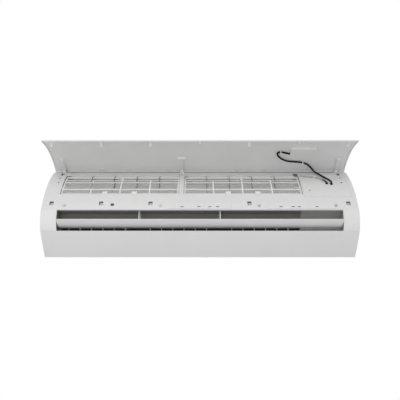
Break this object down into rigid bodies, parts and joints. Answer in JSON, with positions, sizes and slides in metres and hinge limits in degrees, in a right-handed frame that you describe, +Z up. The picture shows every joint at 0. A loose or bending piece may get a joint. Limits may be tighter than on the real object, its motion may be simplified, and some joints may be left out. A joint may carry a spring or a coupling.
{
  "type": "mini split indoor unit",
  "caption": "Wall-hung air conditioner indoor unit with its front panel swung up over the filter bays, an open outlet louver with swinging vanes, and a cross-flow fan.",
  "frame": {"origin": "on the wall, at the middle of the wall plate's back face", "axes": "+X along the unit to the right as seen from the front, +Y into the wall, +Z up"},
  "size_m": [0.97, 0.312, 0.3257],
  "materials": {
    "casing_white": "fine grained moulded ABS, light warm white",
    "clip_white": "plain white nylon",
    "chassis_plastic": "moulded polystyrene, plain",
    "duct_grey": "moulded ABS, grey",
    "vane_plastic": "moulded ABS, thin",
    "fan_dark": "glass filled plastic, dark",
    "steel": "zinc plated",
    "motor_steel": "pressed and plated can",
    "plate_steel": "galvanised sheet",
    "rubber_black": "black sleeve and rubber",
    "coil_fins": "thin fins with a pale green water film coat",
    "copper": "drawn copper tube",
    "brass": "machined",
    "box_plastic": "flame retardant tray",
    "board_green": "lacquered circuit board",
    "filter_plastic": "thin moulded grid with fine net"
  },
  "bodies": {
    "casing": {"bottom_cover": "casing_white", "coil_tubes": "copper", "control_board": "board_green", "control_box": "box_plastic", "control_box_cover": "casing_white", "drain_pan": "chassis_plastic", "fan_bearing": "rubber_black", "fan_motor": "motor_steel", "flare_unions": "brass", "frame_screws": "steel", "front_coil": "coil_fins", "front_frame": "casing_white", "gas_pipe": "copper", "lead_grommet": "rubber_black", "liquid_pipe": "copper", "louver_motor": "motor_steel", "motor_bracket": "chassis_plastic", "outlet_duct": "duct_grey", "rear_chassis": "chassis_plastic", "rear_coil": "coil_fins", "room_sensor": "rubber_black", "sensor_lead": "rubber_black", "terminal_block": "rubber_black", "top_grille": "casing_white", "wall_plate": "plate_steel"},
    "panel": {"front_panel": "casing_white", "panel_arm_left": "casing_white", "panel_arm_centre": "casing_white", "panel_arm_right": "casing_white", "display_case": "casing_white", "display_board": "board_green", "lead_clips": "clip_white", "display_lead": "rubber_black"},
    "louver_blade": {"louver": "casing_white"},
    "fan": {"fan_wheel": "fan_dark", "fan_shaft": "steel"},
    "button": {"manual_button": "casing_white"},
    "left_filter": {"filter_left": "filter_plastic"},
    "right_filter": {"filter_right": "filter_plastic"},
    "body_vane_01": {"vane_01": "vane_plastic"},
    "body_vane_02": {"vane_02": "vane_plastic"},
    "body_vane_03": {"vane_03": "vane_plastic"},
    "body_vane_04": {"vane_04": "vane_plastic"},
    "body_vane_05": {"vane_05": "vane_plastic"},
    "body_vane_06": {"vane_06": "vane_plastic"},
    "body_vane_07": {"vane_07": "vane_plastic"},
    "body_vane_08": {"vane_08": "vane_plastic"},
    "body_vane_09": {"vane_09": "vane_plastic"},
    "body_vane_10": {"vane_10": "vane_plastic"},
    "body_vane_11": {"vane_11": "vane_plastic"},
    "body_vane_12": {"vane_12": "vane_plastic"},
    "body_vane_13": {"vane_13": "vane_plastic"},
    "body_vane_14": {"vane_14": "vane_plastic"},
    "body_vane_15": {"vane_15": "vane_plastic"},
    "body_vane_16": {"vane_16": "vane_plastic"},
    "body_vane_17": {"vane_17": "vane_plastic"},
    "body_vane_18": {"vane_18": "vane_plastic"},
    "body_link_left": {"link_left": "vane_plastic"},
    "body_link_middle": {"link_middle": "vane_plastic"},
    "body_link_right": {"link_right": "vane_plastic"}
  },
  "joints": [
    {"name": "panel_hinge", "type": "hinge", "parent": "casing", "child": "panel", "pos_m": [0, -0.105, 0.134], "axis": [-1, 0, 0], "range_deg": [-59, 0], "deforming": ["display_lead"]},
    {"name": "louver_pivot", "type": "hinge", "parent": "casing", "child": "louver_blade", "pos_m": [0, -0.2, -0.065], "axis": [1, 0, 0], "range_deg": [-66, 25]},
    {"name": "fan_spin", "type": "hinge", "parent": "casing", "child": "fan", "pos_m": [0, -0.112, -0.032], "axis": [1, 0, 0], "continuous": true},
    {"name": "button_press", "type": "slide", "parent": "casing", "child": "button", "axis": [0, 1, 0], "range_m": [0, 0.0015], "stiffness_N_per_m": 400, "springref_m": -0.001},
    {"name": "filter_left_pull", "type": "slide", "parent": "casing", "child": "left_filter", "axis": [0, -1, 0], "range_m": [0, 0.06]},
    {"name": "filter_right_pull", "type": "slide", "parent": "casing", "child": "right_filter", "axis": [0, -1, 0], "range_m": [0, 0.06]},
    {"name": "vane_01_swing", "type": "hinge", "parent": "casing", "child": "body_vane_01", "pos_m": [-0.4065, -0.146, -0.09], "axis": [0, 0, 1], "range_deg": [-30, 30]},
    {"name": "vane_02_swing", "type": "hinge", "parent": "casing", "child": "body_vane_02", "pos_m": [-0.3715, -0.146, -0.09], "axis": [0, 0, 1], "range_deg": [-30, 30]},
    {"name": "vane_03_swing", "type": "hinge", "parent": "casing", "child": "body_vane_03", "pos_m": [-0.3365, -0.146, -0.09], "axis": [0, 0, 1], "range_deg": [-30, 30]},
    {"name": "vane_04_swing", "type": "hinge", "parent": "casing", "child": "body_vane_04", "pos_m": [-0.3015, -0.146, -0.09], "axis": [0, 0, 1], "range_deg": [-30, 30]},
    {"name": "vane_05_swing", "type": "hinge", "parent": "casing", "child": "body_vane_05", "pos_m": [-0.2665, -0.146, -0.09], "axis": [0, 0, 1], "range_deg": [-30, 30]},
    {"name": "vane_06_swing", "type": "hinge", "parent": "casing", "child": "body_vane_06", "pos_m": [-0.2315, -0.146, -0.09], "axis": [0, 0, 1], "range_deg": [-30, 30]},
    {"name": "link_left_slide", "type": "slide", "parent": "casing", "child": "body_link_left", "axis": [1, 0, 0], "range_m": [-0.0073, 0.0073]},
    {"name": "vane_07_swing", "type": "hinge", "parent": "casing", "child": "body_vane_07", "pos_m": [-0.1545, -0.146, -0.09], "axis": [0, 0, 1], "range_deg": [-30, 30]},
    {"name": "vane_08_swing", "type": "hinge", "parent": "casing", "child": "body_vane_08", "pos_m": [-0.1195, -0.146, -0.09], "axis": [0, 0, 1], "range_deg": [-30, 30]},
    {"name": "vane_09_swing", "type": "hinge", "parent": "casing", "child": "body_vane_09", "pos_m": [-0.0845, -0.146, -0.09], "axis": [0, 0, 1], "range_deg": [-30, 30]},
    {"name": "vane_10_swing", "type": "hinge", "parent": "casing", "child": "body_vane_10", "pos_m": [-0.0495, -0.146, -0.09], "axis": [0, 0, 1], "range_deg": [-30, 30]},
    {"name": "vane_11_swing", "type": "hinge", "parent": "casing", "child": "body_vane_11", "pos_m": [-0.0145, -0.146, -0.09], "axis": [0, 0, 1], "range_deg": [-30, 30]},
    {"name": "vane_12_swing", "type": "hinge", "parent": "casing", "child": "body_vane_12", "pos_m": [0.0205, -0.146, -0.09], "axis": [0, 0, 1], "range_deg": [-30, 30]},
    {"name": "link_middle_slide", "type": "slide", "parent": "casing", "child": "body_link_middle", "axis": [1, 0, 0], "range_m": [-0.0073, 0.0073]},
    {"name": "vane_13_swing", "type": "hinge", "parent": "casing", "child": "body_vane_13", "pos_m": [0.0985, -0.146, -0.09], "axis": [0, 0, 1], "range_deg": [-30, 30]},
    {"name": "vane_14_swing", "type": "hinge", "parent": "casing", "child": "body_vane_14", "pos_m": [0.1335, -0.146, -0.09], "axis": [0, 0, 1], "range_deg": [-30, 30]},
    {"name": "vane_15_swing", "type": "hinge", "parent": "casing", "child": "body_vane_15", "pos_m": [0.1685, -0.146, -0.09], "axis": [0, 0, 1], "range_deg": [-30, 30]},
    {"name": "vane_16_swing", "type": "hinge", "parent": "casing", "child": "body_vane_16", "pos_m": [0.2035, -0.146, -0.09], "axis": [0, 0, 1], "range_deg": [-30, 30]},
    {"name": "vane_17_swing", "type": "hinge", "parent": "casing", "child": "body_vane_17", "pos_m": [0.2385, -0.146, -0.09], "axis": [0, 0, 1], "range_deg": [-30, 30]},
    {"name": "vane_18_swing", "type": "hinge", "parent": "casing", "child": "body_vane_18", "pos_m": [0.2735, -0.146, -0.09], "axis": [0, 0, 1], "range_deg": [-30, 30]},
    {"name": "link_right_slide", "type": "slide", "parent": "casing", "child": "body_link_right", "axis": [1, 0, 0], "range_m": [-0.0073, 0.0073]}
  ],
  "couplings": [
    {"joint": "vane_01_swing", "follows": "link_left_slide", "rad_per_m": 71.429},
    {"joint": "vane_02_swing", "follows": "link_left_slide", "rad_per_m": 71.429},
    {"joint": "vane_03_swing", "follows": "link_left_slide", "rad_per_m": 71.429},
    {"joint": "vane_04_swing", "follows": "link_left_slide", "rad_per_m": 71.429},
    {"joint": "vane_05_swing", "follows": "link_left_slide", "rad_per_m": 71.429},
    {"joint": "vane_06_swing", "follows": "link_left_slide", "rad_per_m": 71.429},
    {"joint": "vane_07_swing", "follows": "link_middle_slide", "rad_per_m": 71.429},
    {"joint": "vane_08_swing", "follows": "link_middle_slide", "rad_per_m": 71.429},
    {"joint": "vane_09_swing", "follows": "link_middle_slide", "rad_per_m": 71.429},
    {"joint": "vane_10_swing", "follows": "link_middle_slide", "rad_per_m": 71.429},
    {"joint": "vane_11_swing", "follows": "link_middle_slide", "rad_per_m": 71.429},
    {"joint": "vane_12_swing", "follows": "link_middle_slide", "rad_per_m": 71.429},
    {"joint": "vane_13_swing", "follows": "link_right_slide", "rad_per_m": 71.429},
    {"joint": "vane_14_swing", "follows": "link_right_slide", "rad_per_m": 71.429},
    {"joint": "vane_15_swing", "follows": "link_right_slide", "rad_per_m": 71.429},
    {"joint": "vane_16_swing", "follows": "link_right_slide", "rad_per_m": 71.429},
    {"joint": "vane_17_swing", "follows": "link_right_slide", "rad_per_m": 71.429},
    {"joint": "vane_18_swing", "follows": "link_right_slide", "rad_per_m": 71.429}
  ]
}
